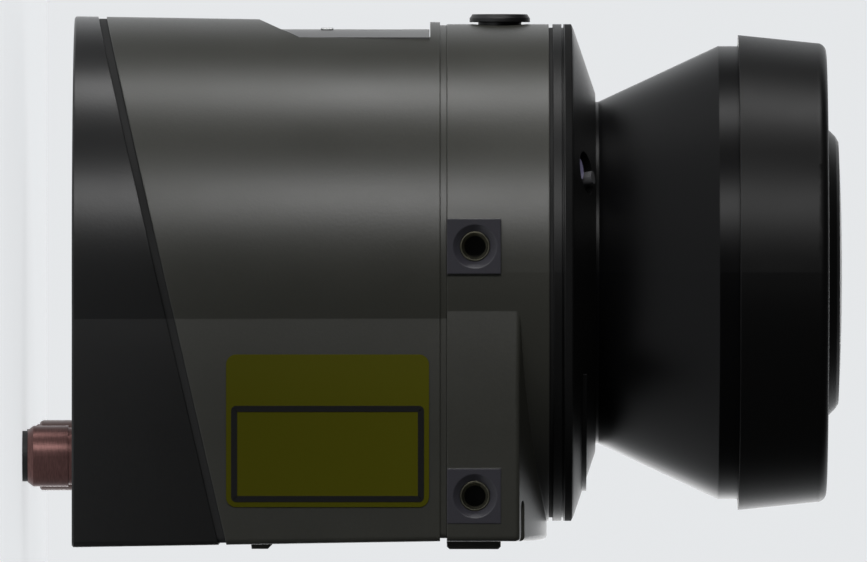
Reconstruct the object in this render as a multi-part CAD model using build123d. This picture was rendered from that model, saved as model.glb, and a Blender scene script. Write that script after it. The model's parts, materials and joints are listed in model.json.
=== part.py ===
"""Compact two-dimensional laser scanner: a spinning mirror under a motor looks out of a dark hood
through 270 degrees, on a cast housing with a sloping base that carries four round connectors.

Millimetres. +Z is the scan axis, pointing from the base to the cap. The origin is on the flat foot
of the base, and -Y is the front, which has the indicator panel and the service port."""

import math
import os

from build123d import *

# Housing plan at the foot: a round front about the scan axis, and a square block behind it
FRONT_R = 50.83
HALF_WIDTH = 51.06
REAR_Y = 54.0
SIDE_ARC_R = 205.0
SIDE_FLAT_Y = 29.9
CORNER_R = 1.0
DRAFT = 0.93
WALL = 3.6

# Heights of the housing pieces
BASE_FRONT_H = 4.68
BASE_SLOPE = 13.02
BASE_FLOOR = 3.5
BASE_CHAMFER = 0.35
SEAL_H = 1.58
SEAL_INSET = 0.4
SEAL_WIDTH = 2.8
LOWER_TOP = 72.35
NECK_H = 1.35
NECK_INSET = 0.6
UPPER_R = 49.25
UPPER_H = 20.17
ROOF_ARC_R = 222.0
ROOF_DROP = 0.37
ROOF_FILLET = 0.9

# Running gap, screw gap and the gap of a piece in its seat
FIT_GAP = 0.3
THREAD_GAP = 0.05
PASS_GAP = 0.2

# Foot bar and threaded bosses on the rear, pads on the sides
DATUM_Y = 54.5
FOOT_Z = 36.8
FOOT_FLAT = 3.2
FOOT_HALF = 30.0
MOUNT_Z = 79.2
REAR_SPACING = 60.0
REAR_BOSS_HALF = 5.6
SIDE_PAD_X = 50.0
SIDE_FRONT_Y = -5.13
SIDE_SPACING = 49.05
PAD_HALF = 5.4
PAD_TOP = 84.3
INSERT_R = 2.95
INSERT_CORE_R = 2.1
INSERT_LENGTH = 7.5
SINK_R = 4.3
SINK_DEPTH = 1.25

# Pocket at each rear corner of the roof
POCKET_X = 46.4
POCKET_HALF = 1.6
POCKET_Y = 46.4
POCKET_FLOOR = 88.0

# Indicator panel in the front wall
PANEL_R = 97.0
PANEL_Y = -48.25
PANEL_HALF = 18.6
PANEL_TOP = 70.4
PANEL_THICK = 1.2
RECESS_FOOT_Z = 36.1
RECESS_FOOT_Y = -50.4
RECESS_SLOPE = 64.6
SCREEN_WIDE = 15.0
SCREEN_HIGH = 9.0
SCREEN_Z = 60.5
LENS_R = 1.3
LENS_STEP = 6.0
LENS_Z = 50.0
PAD_BACK_Y = -43.6

# Label on the +X side
LABEL_Z = (30.3, 70.2)
LABEL_Y = (16.1, 46.1)
LABEL_CORNER = 2.0
LABEL_THICK = 0.25

# Round connectors under the base, from +X to -X
CONNECTOR_Y = 36.2
CONNECTOR_PITCH = 20.5
PLUG_R = 6.0
PLUG_DROP = 8.9
TIP_R = 5.0
TIP_DROP = 9.97
SOCKET_R = 6.9
SOCKET_DROP = 6.8
SOCKET_BORE = 5.4
NUT_R = 8.0
NUT_H = 2.5
PIN_R = 0.5
PIN_CIRCLE = 2.6
SHELL_TOP = 9.0

# Electronics
BOARD_THICK = 1.6
INTERFACE_Z = 13.0
POWER_Z = 42.0
PROCESSOR_Z = 55.0
BOARD_GAP = 0.7
BOARD_FRONT_Y = -40.0
POST_R = 5.6
POSTS = ((42.6, 46.2), (-42.6, 46.2), (31.0, -29.5), (-31.0, -29.5))
SEAT_THICK = 5.0
BASE_SCREW_R = 2.0
BOARD_SCREW_R = 1.5

# Service port on the front of the upper housing
PORT_Z = 84.2
PORT_BORE = 4.6
PORT_NOSE = 5.1
PORT_BODY = 6.0
CAP_STEM = 4.3
CAP_FLANGE = 6.0

# Collar round the foot of the window
COLLAR_SEAL_H = 0.78
COLLAR_SEAL_R = 48.56
COLLAR_R = 49.25
COLLAR_EDGE_R = 48.3
COLLAR_EDGE_H = 4.15
COLLAR_TOP_R = 35.6
COLLAR_H = 8.45
LEDGE_R = 43.3
LEDGE_H = 6.65
MONITOR_ANGLE = -28.5
MONITOR_R = 41.2
MONITOR_POD_R = 4.2
MONITOR_DEPTH = 1.6

# Window hood and cap
WINDOW_NECK_R = 33.86
WINDOW_TOP_R = 44.9
WINDOW_WALL = 2.6
CONE_FOOT_Z = 103.7
CONE_TOP_Z = 127.4
CAP_FOOT_Z = 131.4
SPIGOT_H = 2.6
FLANGE_R = 38.0
FLANGE_Z = 97.6
FLANGE_H = 2.2
CAP_FOOT_R = 47.1
CAP_EDGE_R = 45.5
CAP_TOP_Z = 148.9
CAP_WALL = 3.0
CAP_FILLET = 2.0
BUTTON_R = 28.7
BUTTON_CHAMFER = 1.7
DOME_TOP = 152.0

# Optics and motor
PLATE_H = 2.87
PLATE_R = 41.7
LEDGE_BORE = 36.0
FRAME_SCREWS_R = 39.0
COLLAR_SCREWS_R = 44.5
CAP_SCREWS_R = 36.4
PILLAR_R = 30.3
PILLAR_THICK = 4.8
PILLAR_HALF_ANGLE = 38.0
SCAN_Z = 116.0
MIRROR_R = 14.6
MIRROR_THICK = 2.0
CARRIER_R = 15.2
CARRIER_TOP = 127.0
BRACKET_Z = 131.5
BRACKET_H = 2.5
HUB_R = 7.0
BEARING_R = 4.5
SHAFT_R = 2.0
STATOR_R = 15.5
ROTOR_R = 19.5
ENCODER_R = 20.0
ENCODER_Z = 128.6
LENS_OUTER_R = 15.5
LENS_FOOT_Z = 96.0
TUBE_R = 4.0
RECEIVER_Z = 66.8

UPPER_Z = LOWER_TOP + NECK_H
UPPER_TOP = UPPER_Z + UPPER_H
COLLAR_Z = UPPER_TOP + COLLAR_SEAL_H
LEAN = LOWER_TOP * math.tan(math.radians(DRAFT))
RISE = math.tan(math.radians(BASE_SLOPE))
PLATE_Z = UPPER_TOP - PLATE_H
BRACKET_TOP = BRACKET_Z + BRACKET_H
CONNECTORS_X = [CONNECTOR_PITCH * step for step in (1.5, 0.5, -0.5, -1.5)]
FOOT = (Align.CENTER, Align.CENTER, Align.MIN)


def disc(radius, bottom, top, x=0.0, y=0.0):
    return Pos(x, y, bottom) * Cylinder(radius, top - bottom, align=FOOT)


def tube(outer, inner, bottom, top, x=0.0, y=0.0):
    return disc(outer, bottom, top, x, y) - disc(inner, bottom, top, x, y)


def slab(x, y, z):
    """A block between two limits along each axis."""
    middle = [(low + high) / 2 for low, high in (x, y, z)]
    return Pos(*middle) * Box(*(high - low for low, high in (x, y, z)))


def turned(*points):
    """A solid of revolution about Z from an outline of (radius, height) points."""
    return revolve(Plane.XZ * make_face(Polyline(*points, close=True)), Axis.Z)


def across(half, *points):
    """An outline of (y, z) points carried the same way to both sides along X."""
    return extrude(Plane.YZ * make_face(Polyline(*points, close=True)), amount=half, both=True)


def group(pieces):
    return Part() + list(pieces)


def slope_height(y, lift=0.0):
    """Height of the sloping joint between the base and the lower housing."""
    return BASE_FRONT_H + lift + (y + FRONT_R) * RISE


def under_slope(lift=0.0):
    far = 2 * FRONT_R
    low = slope_height(-far, lift) - far
    return across(far, (-far, low), (far, low), (far, slope_height(far, lift)), (-far, slope_height(-far, lift)))


def block_plan(inset):
    """The square rear block in plan, with its long side arcs and its two rear corners."""
    wide, rear, swing = HALF_WIDTH - inset, REAR_Y - inset, SIDE_ARC_R - inset
    root, middle = (wide - swing + math.sqrt(swing**2 - y**2) for y in (SIDE_FLAT_Y, SIDE_FLAT_Y / 2))
    outline = [
        ThreePointArc((root, 0), (middle, SIDE_FLAT_Y / 2), (wide, SIDE_FLAT_Y)),
        Line((wide, SIDE_FLAT_Y), (wide, rear)),
        Line((wide, rear), (-wide, rear)),
        Line((-wide, rear), (-wide, SIDE_FLAT_Y)),
        ThreePointArc((-wide, SIDE_FLAT_Y), (-middle, SIDE_FLAT_Y / 2), (-root, 0)),
        Line((-root, 0), (root, 0)),
    ]
    plan = make_face(outline)
    return fillet(plan.vertices().group_by(Axis.Y)[-1], CORNER_R)


def drafted(inset=0.0):
    """The outer form of the base and lower housing together, set in by a given amount."""
    front = Cone(FRONT_R - inset, FRONT_R - inset - LEAN, LOWER_TOP, align=FOOT)
    foot, head = block_plan(inset), block_plan(inset + LEAN)
    return front + loft([foot.face(), (Pos(0, 0, LOWER_TOP) * head).face()], ruled=True)


def foot_chamfer():
    """What the small chamfer round the foot takes away."""
    sizes = (block_plan(BASE_CHAMFER), Pos(0, 0, BASE_CHAMFER) * block_plan(0))
    kept = loft([size.face() for size in sizes], ruled=True)
    kept += Cone(FRONT_R - BASE_CHAMFER, FRONT_R, BASE_CHAMFER, align=FOOT)
    return slab((-60, 60), (-60, 60), (0, BASE_CHAMFER)) - kept


def straight(inset, bottom, top):
    """The same plan at the top of the lower housing, without draft."""
    block = extrude(block_plan(LEAN + inset), amount=top - bottom)
    return disc(FRONT_R - LEAN - inset, bottom, top) + Pos(0, 0, bottom) * block


def cap_screw(radius, seat, length, head=None):
    """A socket-head screw hanging head down under its seat, with its shank upwards."""
    head_r = head or 1.75 * radius
    deep = 2 * radius
    body = disc(head_r, seat - deep, seat) + disc(radius, seat, seat + length)
    return body - Pos(0, 0, seat - deep) * extrude(RegularPolygon(0.9 * radius, 6), amount=radius)


def post(x, y, top):
    """A screw post cast into the wall, and into the corner where there is one."""
    body = disc(POST_R, 0, top, x, y)
    if y > 0:
        body += slab(sorted((x, math.copysign(HALF_WIDTH, x))), (y, REAR_Y), (0, top))
    return body & drafted(WALL / 2)


def base_housing():
    body = (drafted() - (drafted(WALL) - slab((-60, 60), (-60, 60), (-1, BASE_FLOOR)))) & under_slope()
    for x, y in POSTS:
        body += post(x, y, REAR_Y) & under_slope()
        seat = slope_height(y) - SEAT_THICK
        body -= disc(1.75 * BASE_SCREW_R + PASS_GAP, 0, seat, x, y)
        body -= disc(BASE_SCREW_R + PASS_GAP, 0, REAR_Y, x, y)
    for x, radius in zip(CONNECTORS_X, (PLUG_R, SOCKET_R, SOCKET_R, PLUG_R)):
        body -= disc(radius + FIT_GAP, -1, BASE_FLOOR + 1, x, CONNECTOR_Y)
    for x in (-CONNECTOR_PITCH, CONNECTOR_PITCH):
        body += tube(3.0, BOARD_SCREW_R + THREAD_GAP, BASE_FLOOR, INTERFACE_Z, x, CONNECTOR_Y - 8.7)
    return body - foot_chamfer()


def base_seal():
    ring = drafted(SEAL_INSET) - drafted(SEAL_INSET + SEAL_WIDTH)
    return (ring - under_slope()) & under_slope(SEAL_H)


def recess(grow=0.0):
    """The space in front of the indicator panel: a slope below, and a lid under the top rim."""
    far = RECESS_FOOT_Y - 6
    run = math.tan(math.radians(RECESS_SLOPE))
    back = PAD_BACK_Y - 1
    low = RECESS_FOOT_Z - (RECESS_FOOT_Y - far) * run
    return across(
        PANEL_HALF + grow,
        (far, low - grow),
        (back, RECESS_FOOT_Z + (back - RECESS_FOOT_Y) * run - grow),
        (back, PANEL_TOP + grow),
        (far, PANEL_TOP + grow),
    )


def panel_round(depth):
    """The wide cylinder that the panel's face lies on, set in by a depth."""
    return disc(PANEL_R - depth, 0, LOWER_TOP, 0, PANEL_Y + PANEL_R)


def panel_openings(grow=0.0):
    screen = slab(
        (-SCREEN_WIDE / 2 - grow, SCREEN_WIDE / 2 + grow),
        (PANEL_Y - 2, PAD_BACK_Y),
        (SCREEN_Z - SCREEN_HIGH / 2 - grow, SCREEN_Z + SCREEN_HIGH / 2 + grow),
    )
    ports = [
        Pos(LENS_STEP * step, PAD_BACK_Y, LENS_Z)
        * Rot(90, 0, 0)
        * Cylinder(LENS_R + grow, PAD_BACK_Y - PANEL_Y + 2, align=FOOT)
        for step in (-1, 0, 1)
    ]
    return screen, group(ports)


def lower_housing():
    inside = drafted(WALL) - slab((-PANEL_HALF - 1, PANEL_HALF + 1), (-60, PAD_BACK_Y), (LENS_Z - 6, 80))
    body = drafted() - inside - under_slope(SEAL_H)
    body += straight(NECK_INSET, LOWER_TOP, UPPER_Z) - straight(WALL, LOWER_TOP, UPPER_Z)
    for x, y in POSTS:
        body += post(x, y, POWER_Z) - under_slope(SEAL_H)
        body -= disc(BASE_SCREW_R + THREAD_GAP, 0, slope_height(y, SEAL_H) + 7, x, y)
        body -= disc(BOARD_SCREW_R + THREAD_GAP, POWER_Z - 4.5, POWER_Z, x, y)
    low, high = FOOT_Z - FOOT_FLAT / 2, FOOT_Z + FOOT_FLAT / 2
    deep = DATUM_Y - WALL
    body += across(FOOT_HALF, (deep, low - 0.4), (DATUM_Y, low), (DATUM_Y, high), (deep, high + DATUM_Y - deep))
    body -= recess() - panel_round(0)
    body -= (recess() - panel_round(PANEL_THICK + FIT_GAP)) & slab((-60, 60), (-60, PAD_BACK_Y), (0, PANEL_TOP))
    return body - slab((-12, 12), (-60, PAD_BACK_Y + 1), (LENS_Z - 2.5, SCREEN_Z + 5.5))


def indicator_panel():
    sheet = (recess(-FIT_GAP / 2) & panel_round(0)) - panel_round(PANEL_THICK)
    screen, ports = panel_openings()
    return sheet - screen - ports


def display_window():
    screen, _ = panel_openings(-THREAD_GAP)
    return (screen & panel_round(0)) - panel_round(PANEL_THICK)


def status_lenses():
    _, ports = panel_openings(-THREAD_GAP)
    return (ports & panel_round(-0.25)) - panel_round(PANEL_THICK)


def indicator_board():
    board = slab((-14.5, 14.5), (PAD_BACK_Y, PAD_BACK_Y + 1.2), (LENS_Z - 5, PANEL_TOP - 1.5))
    lamps = [
        slab((LENS_STEP * step - 1, LENS_STEP * step + 1), (PAD_BACK_Y - 1.5, PAD_BACK_Y), (LENS_Z - 1, LENS_Z + 1))
        for step in (-1, 0, 1)
    ]
    digits = slab((-6.5, 6.5), (PAD_BACK_Y - 1.8, PAD_BACK_Y), (SCREEN_Z - 4.5, SCREEN_Z + 4.5))
    return board + lamps + digits


def pad_spots():
    """Centre and outward side of each threaded side pad."""
    for side in (1, -1):
        for y in (SIDE_FRONT_Y, SIDE_FRONT_Y + SIDE_SPACING):
            yield side, y


def threaded_hole(face):
    """The countersunk hole for a thread insert, opening upwards at a height."""
    sink = Pos(0, 0, face - SINK_DEPTH) * Cone(INSERT_R + THREAD_GAP, SINK_R, SINK_DEPTH, align=FOOT)
    return sink + disc(INSERT_R + THREAD_GAP, face - SINK_DEPTH - INSERT_LENGTH, face - SINK_DEPTH)


def thread_insert(face):
    top = face - SINK_DEPTH
    ring = tube(INSERT_R, INSERT_CORE_R, top - INSERT_LENGTH, top)
    return ring - Pos(0, 0, top - 0.5) * Cone(INSERT_CORE_R, INSERT_CORE_R + 0.5, 0.5, align=FOOT)


def sideways(side, y):
    return Pos(0, y, MOUNT_Z) * Rot(0, 90 * side, 0)


def rearways(x):
    return Pos(x, 0, MOUNT_Z) * Rot(-90, 0, 0)


def upper_form(inset, bottom, top):
    """Round body and roofed rear block of the upper housing, set in by a given amount."""
    block = Pos(0, 0, UPPER_Z) * extrude(block_plan(LEAN + inset), amount=UPPER_H)
    arc_r = ROOF_ARC_R - inset
    crown = UPPER_TOP - ROOF_DROP - ROOF_ARC_R
    roof = Pos(0, REAR_Y / 2, crown) * Rot(90, 0, 0) * Cylinder(arc_r, 2 * REAR_Y)
    block = block & roof
    if inset == 0:
        vault = block.faces().filter_by(GeomType.CYLINDER).sort_by(Axis.Z)[-1]
        block = fillet(vault.edges().filter_by_position(Axis.Y, CORNER_R, REAR_Y), ROOF_FILLET)
    return (disc(UPPER_R - inset, UPPER_Z, top) + block) - slab((-60, 60), (-60, 60), (0, bottom))


def upper_housing():
    body = upper_form(0, UPPER_Z, UPPER_TOP)
    body -= upper_form(WALL, UPPER_Z, PLATE_Z - WALL)
    for side, y in pad_spots():
        reach = sorted((side * SIDE_PAD_X, side * (SIDE_PAD_X - SINK_DEPTH - INSERT_LENGTH - 2)))
        body += slab(reach, (y - PAD_HALF, y + PAD_HALF), (UPPER_Z, PAD_TOP))
    for x in (-REAR_SPACING / 2, REAR_SPACING / 2):
        deep = DATUM_Y - SINK_DEPTH - INSERT_LENGTH - 2
        boss = slab((x - REAR_BOSS_HALF, x + REAR_BOSS_HALF), (deep, DATUM_Y), (UPPER_Z, PAD_TOP))
        body += chamfer(boss.faces().sort_by(Axis.Y)[-1].edges(), 0.5)
    for side, y in pad_spots():
        body -= sideways(side, y) * threaded_hole(SIDE_PAD_X)
    for x in (-REAR_SPACING / 2, REAR_SPACING / 2):
        body -= rearways(x) * threaded_hole(DATUM_Y)
    body -= disc(PLATE_R + FIT_GAP, PLATE_Z, UPPER_TOP) + disc(LEDGE_BORE, UPPER_Z, UPPER_TOP)
    for spot in collar_spots():
        body -= spot * disc(BOARD_SCREW_R + PASS_GAP, UPPER_Z, UPPER_TOP)
        body -= spot * disc(1.75 * BOARD_SCREW_R + PASS_GAP, UPPER_Z, PLATE_Z - WALL)
    for spot in frame_spots():
        body -= spot * disc(BOARD_SCREW_R + THREAD_GAP, PLATE_Z - 3, PLATE_Z)
    port = disc(PORT_NOSE + FIT_GAP, 30, 60) + disc(PORT_BODY + FIT_GAP, 30, UPPER_R - WALL - FIT_GAP)
    body -= Pos(0, 0, PORT_Z) * Rot(90, 0, 0) * port
    for side in (1, -1):
        pocket = slab((side * POCKET_X - POCKET_HALF, side * POCKET_X + POCKET_HALF), (POCKET_Y, 60), (POCKET_FLOOR, 99))
        body -= pocket + disc(POCKET_HALF, POCKET_FLOOR, 99, side * POCKET_X, POCKET_Y)
    return body


def side_thread_inserts():
    return group(sideways(side, y) * thread_insert(SIDE_PAD_X) for side, y in pad_spots())


def rear_thread_inserts():
    return group(rearways(x) * thread_insert(DATUM_Y) for x in (-REAR_SPACING / 2, REAR_SPACING / 2))


def service_port_socket():
    wall = UPPER_R - WALL
    body = turned((0, 30), (PORT_BODY, 30), (PORT_BODY, wall - 0.6), (PORT_NOSE, wall - 0.6),
                  (PORT_NOSE, UPPER_R - 0.3), (PORT_BORE, UPPER_R - 0.3), (PORT_BORE, 41), (0, 41))
    contacts = [spot * disc(PIN_R, 38, 41) for spot in PolarLocations(PIN_CIRCLE, 4)]
    return Pos(0, 0, PORT_Z) * Rot(90, 0, 0) * (body - contacts)


def service_port_cap():
    lift = UPPER_R + 0.4
    body = turned((0, UPPER_R - 6), (CAP_STEM, UPPER_R - 6), (CAP_STEM, lift), (CAP_FLANGE, lift),
                  (CAP_FLANGE, lift + 0.75), (CAP_FLANGE - 0.55, lift + 1.55), (0, lift + 1.55))
    slot = slab((-4, 4), (-0.6, 0.6), (lift + 0.75, lift + 2))
    return Pos(0, 0, PORT_Z) * Rot(90, 0, 0) * (body - slot)


def label_plate():
    film = drafted(-LABEL_THICK) - drafted()
    shape = slab((30, 60), LABEL_Y, LABEL_Z)
    shape = fillet(shape.edges().filter_by(Axis.X), LABEL_CORNER)
    return film & shape


def collar_seal():
    return tube(COLLAR_SEAL_R, COLLAR_SEAL_R - 2.4, UPPER_TOP, COLLAR_Z)


def cone_height(radius):
    """Height of the collar's shallow cone over its foot."""
    share = (COLLAR_EDGE_R - radius) / (COLLAR_EDGE_R - COLLAR_TOP_R)
    return COLLAR_Z + COLLAR_EDGE_H + share * (COLLAR_H - COLLAR_EDGE_H)


def monitor_spot(side):
    """Frame of a window monitor, leaning outwards with the collar's cone."""
    angle = MONITOR_ANGLE if side > 0 else 180 - MONITOR_ANGLE
    return Rot(0, 0, angle) * Pos(MONITOR_R, 0, cone_height(MONITOR_R)) * Rot(0, 18.7, 0)


def optics_collar():
    foot, bore = COLLAR_Z, WINDOW_NECK_R + FIT_GAP
    roof = FLANGE_Z + FLANGE_H + 0.4
    groove = foot + 1.75
    body = turned(
        (FLANGE_R + FIT_GAP, foot), (COLLAR_R, foot), (COLLAR_R, groove), (COLLAR_SEAL_R, groove),
        (COLLAR_SEAL_R, groove + 0.4), (COLLAR_R, groove + 0.4), (COLLAR_R, foot + COLLAR_EDGE_H - 0.5),
        (COLLAR_EDGE_R, foot + COLLAR_EDGE_H), (COLLAR_TOP_R, foot + COLLAR_H), (bore, foot + COLLAR_H),
        (bore, roof), (FLANGE_R + FIT_GAP, roof))
    ledge = tube(LEDGE_R, FLANGE_R + 1, foot + 4, foot + LEDGE_H)
    body += ledge & slab((-60, 60), (20, 60), (foot, foot + LEDGE_H))
    for side in (1, -1):
        body -= monitor_spot(side) * disc(MONITOR_POD_R, -MONITOR_DEPTH, 9)
    for spot in collar_spots():
        body -= spot * disc(BOARD_SCREW_R + THREAD_GAP, foot, foot + 3.6)
    return body


def monitor_lenses():
    return group(monitor_spot(side) * disc(2.1, -MONITOR_DEPTH, -0.6, 2.0) for side in (1, -1))


def monitor_receivers():
    return group(monitor_spot(side) * disc(1.3, -MONITOR_DEPTH, 0.6, -2.3) for side in (1, -1))


def optics_window():
    neck, inner = WINDOW_NECK_R, WINDOW_NECK_R - WINDOW_WALL
    top = CAP_FOOT_Z + SPIGOT_H
    return turned(
        (inner, FLANGE_Z), (FLANGE_R, FLANGE_Z), (FLANGE_R, FLANGE_Z + FLANGE_H), (neck, FLANGE_Z + FLANGE_H),
        (neck, CONE_FOOT_Z), (WINDOW_TOP_R, CONE_TOP_Z), (WINDOW_TOP_R, top), (WINDOW_TOP_R - WINDOW_WALL, top),
        (WINDOW_TOP_R - WINDOW_WALL, CONE_TOP_Z + 0.5), (inner, CONE_FOOT_Z + 0.5))


def window_seal():
    bottom = FLANGE_Z + FLANGE_H
    return tube(FLANGE_R - 0.2, WINDOW_NECK_R + 0.6, bottom, bottom + 0.4)


def window_clamp_ring():
    ring = tube(FLANGE_R - 0.2, PILLAR_R + 0.8, UPPER_TOP, FLANGE_Z)
    return ring


def cap_seal():
    bottom = CAP_FOOT_Z + SPIGOT_H
    return tube(WINDOW_TOP_R - 0.1, WINDOW_TOP_R - WINDOW_WALL + 0.1, bottom, bottom + 0.6)


def collar_spots():
    return PolarLocations(COLLAR_SCREWS_R, 4, start_angle=45)


def frame_spots():
    return PolarLocations(FRAME_SCREWS_R, 4, start_angle=15)


def cap_spots():
    return PolarLocations(CAP_SCREWS_R, 3, start_angle=30)


def top_cap():
    foot, seat = CAP_FOOT_Z, CAP_FOOT_Z + SPIGOT_H + 0.6
    button = BUTTON_R - BUTTON_CHAMFER
    rim = CAP_TOP_Z + BUTTON_CHAMFER + 0.1
    roof = CAP_TOP_Z - CAP_WALL
    dome_r, dome_foot = button - 1, rim + 0.6
    rise = DOME_TOP - dome_foot
    sphere_r = (dome_r**2 + rise**2) / (2 * rise)
    half_way = DOME_TOP - sphere_r + math.sqrt(sphere_r**2 - dome_r**2 / 4)
    outline = [
        Polyline((0, roof), (WINDOW_TOP_R - WINDOW_WALL - 2, roof), (WINDOW_TOP_R - WINDOW_WALL - 0.8, seat),
                 (WINDOW_TOP_R + FIT_GAP, seat), (WINDOW_TOP_R + FIT_GAP, foot), (CAP_FOOT_R, foot),
                 (CAP_EDGE_R, CAP_TOP_Z - CAP_FILLET)),
        ThreePointArc((CAP_EDGE_R, CAP_TOP_Z - CAP_FILLET), (CAP_EDGE_R - 0.5, CAP_TOP_Z - 0.6),
                      (CAP_EDGE_R - CAP_FILLET, CAP_TOP_Z)),
        Polyline((CAP_EDGE_R - CAP_FILLET, CAP_TOP_Z), (BUTTON_R + 1, CAP_TOP_Z), (BUTTON_R + 1, CAP_TOP_Z + 0.1),
                 (BUTTON_R, CAP_TOP_Z + 0.1), (button, rim), (dome_r, dome_foot)),
        ThreePointArc((dome_r, dome_foot), (dome_r / 2, half_way), (0, DOME_TOP)),
        Line((0, DOME_TOP), (0, roof)),
    ]
    body = revolve(Plane.XZ * make_face([edge for piece in outline for edge in piece.edges()]), Axis.Z)
    for spot in cap_spots():
        body += spot * disc(3.6, BRACKET_TOP, roof + 0.5)
        body -= spot * disc(BOARD_SCREW_R + THREAD_GAP, BRACKET_TOP, BRACKET_TOP + 6)
    return body


def pillar(inner, outer, half_angle, bottom, top):
    """A slice of a tube behind the mirror, in the rear blind sector."""
    far = outer / math.cos(math.radians(half_angle)) + 1
    lean = math.radians(half_angle)
    corners = ((0, 0), (far * math.sin(lean), far * math.cos(lean)), (-far * math.sin(lean), far * math.cos(lean)))
    wedge = Pos(0, 0, bottom) * extrude(make_face(Polyline(*corners, close=True)), amount=top - bottom)
    return tube(outer, inner, bottom, top) & wedge


def optics_frame():
    body = disc(PLATE_R, PLATE_Z, UPPER_TOP) - disc(18.0, PLATE_Z, UPPER_TOP)
    body += pillar(PILLAR_R - PILLAR_THICK, PILLAR_R, PILLAR_HALF_ANGLE, PLATE_Z, BRACKET_Z)
    groove = PILLAR_R - PILLAR_THICK + 1.0
    body -= slab((-6, 6), (groove - 3, groove), (PLATE_Z - 1, BRACKET_Z))
    for spot in frame_spots():
        body -= spot * disc(BOARD_SCREW_R + PASS_GAP, PLATE_Z, UPPER_TOP)
        body -= spot * disc(2.0 * BOARD_SCREW_R, PLATE_Z + 1.6, UPPER_TOP)
    return body


def motor_flex():
    back = PILLAR_R - PILLAR_THICK + 1.0 - FIT_GAP
    return slab((-5, 5), (back - 0.4, back), (PROCESSOR_Z + BOARD_THICK, BRACKET_Z))


def motor_bracket():
    body = disc(WINDOW_TOP_R - WINDOW_WALL - FIT_GAP, BRACKET_Z, BRACKET_TOP)
    body += disc(HUB_R, ENCODER_Z + 1.2, BRACKET_TOP + 9)
    body -= disc(BEARING_R, ENCODER_Z + 1.2, BRACKET_TOP + 9)
    body += tube(BEARING_R + 0.5, SHAFT_R + 1.2, BRACKET_Z + 2, BRACKET_Z + 5)
    for spot in cap_spots():
        body -= spot * disc(BOARD_SCREW_R + PASS_GAP, BRACKET_Z, BRACKET_TOP)
    return body


def motor_bearings():
    low, high = BRACKET_Z + 2, BRACKET_Z + 5
    return group(tube(BEARING_R, SHAFT_R + 0.04, z, z + 3) for z in (low - 3, high))


def motor_stator():
    body = tube(STATOR_R, HUB_R + THREAD_GAP, BRACKET_TOP + 1, BRACKET_TOP + 8)
    slots = [spot * slab((-1.2, 3.6), (-1.3, 1.3), (BRACKET_TOP + 1, BRACKET_TOP + 8)) for spot in PolarLocations(11.5, 9)]
    return (body - slots) + tube(HUB_R + 2.2, HUB_R + THREAD_GAP, BRACKET_TOP, BRACKET_TOP + 1)


def motor_rotor():
    foot, top = BRACKET_TOP + 1.2, BRACKET_TOP + 10.9
    cup = turned((STATOR_R + 0.8, foot), (ROTOR_R, foot), (ROTOR_R, top), (SHAFT_R + THREAD_GAP, top),
                 (SHAFT_R + THREAD_GAP, top - 1.5), (STATOR_R + 0.8, top - 1.5))
    return cup


def motor_shaft():
    return disc(SHAFT_R, CARRIER_TOP - 5, BRACKET_TOP + 10.9)


def encoder_disc():
    marks = [spot * slab((-1.2, 1.2), (-0.35, 0.35), (ENCODER_Z, ENCODER_Z + 1)) for spot in PolarLocations(18.0, 24)]
    disc_body = tube(ENCODER_R, SHAFT_R + THREAD_GAP, ENCODER_Z, ENCODER_Z + 0.5) - marks
    return disc_body + tube(5.0, SHAFT_R + THREAD_GAP, CARRIER_TOP, ENCODER_Z)


def encoder_head():
    body = slab((-4, 4), (ENCODER_R - 4, ENCODER_R + 3), (ENCODER_Z - 2.6, BRACKET_Z))
    return body - slab((-4, 4), (ENCODER_R - 5, ENCODER_R + 0.8), (ENCODER_Z - 0.7, ENCODER_Z + 1.2))


def above_mirror(lift):
    """Everything behind the mirror's reflecting plane, moved up by a given amount."""
    far = 3 * MIRROR_R
    return across(far, (-far, SCAN_Z + far + lift), (far, SCAN_Z - far + lift), (far, SCAN_Z + 2 * far))


def mirror_carrier():
    back = MIRROR_THICK * math.sqrt(2)
    body = disc(CARRIER_R, LENS_FOOT_Z + 5.5, CARRIER_TOP) & above_mirror(back)
    return body - disc(SHAFT_R + THREAD_GAP, CARRIER_TOP - 5, CARRIER_TOP)


def scan_mirror():
    slice_ = above_mirror(0) - above_mirror(MIRROR_THICK * math.sqrt(2))
    return disc(MIRROR_R, LENS_FOOT_Z + 5.0, CARRIER_TOP) & slice_


def lens_barrel():
    top, low, board = LENS_FOOT_Z + 3.8, RECEIVER_Z + BOARD_THICK, LENS_OUTER_R
    body = turned(
        (board - 0.7, LENS_FOOT_Z), (board + 0.2, LENS_FOOT_Z), (board + 0.2, top), (17.5, top),
        (17.5, UPPER_TOP + 2), (21.0, UPPER_TOP + 2), (21.0, UPPER_TOP), (17.5, UPPER_TOP), (17.5, PLATE_Z - 1),
        (9.0, low + 1.5), (12.0, low + 1.5), (12.0, low), (7.5, low), (7.5, low + 1.5), (board - 0.7, PLATE_Z - 1))
    arms = [spot * slab((-6.2, 4.6), (-0.7, 0.7), (PLATE_Z, PLATE_Z + 2)) for spot in PolarLocations(10.3, 3)]
    return body + arms - disc(TUBE_R + THREAD_GAP, PLATE_Z - 1, PLATE_Z + 3)


def receiver_lens():
    foot, rise = LENS_FOOT_Z, 3.4
    outline = [
        Polyline((LENS_OUTER_R, foot + 1.2), (LENS_OUTER_R, foot), (TUBE_R + FIT_GAP, foot), (TUBE_R + FIT_GAP, foot + rise)),
        ThreePointArc((TUBE_R + FIT_GAP, foot + rise), (LENS_OUTER_R * 0.7, foot + 0.78 * rise), (LENS_OUTER_R, foot + 1.2)),
    ]
    return revolve(Plane.XZ * make_face([edge for piece in outline for edge in piece.edges()]), Axis.Z)


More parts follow.
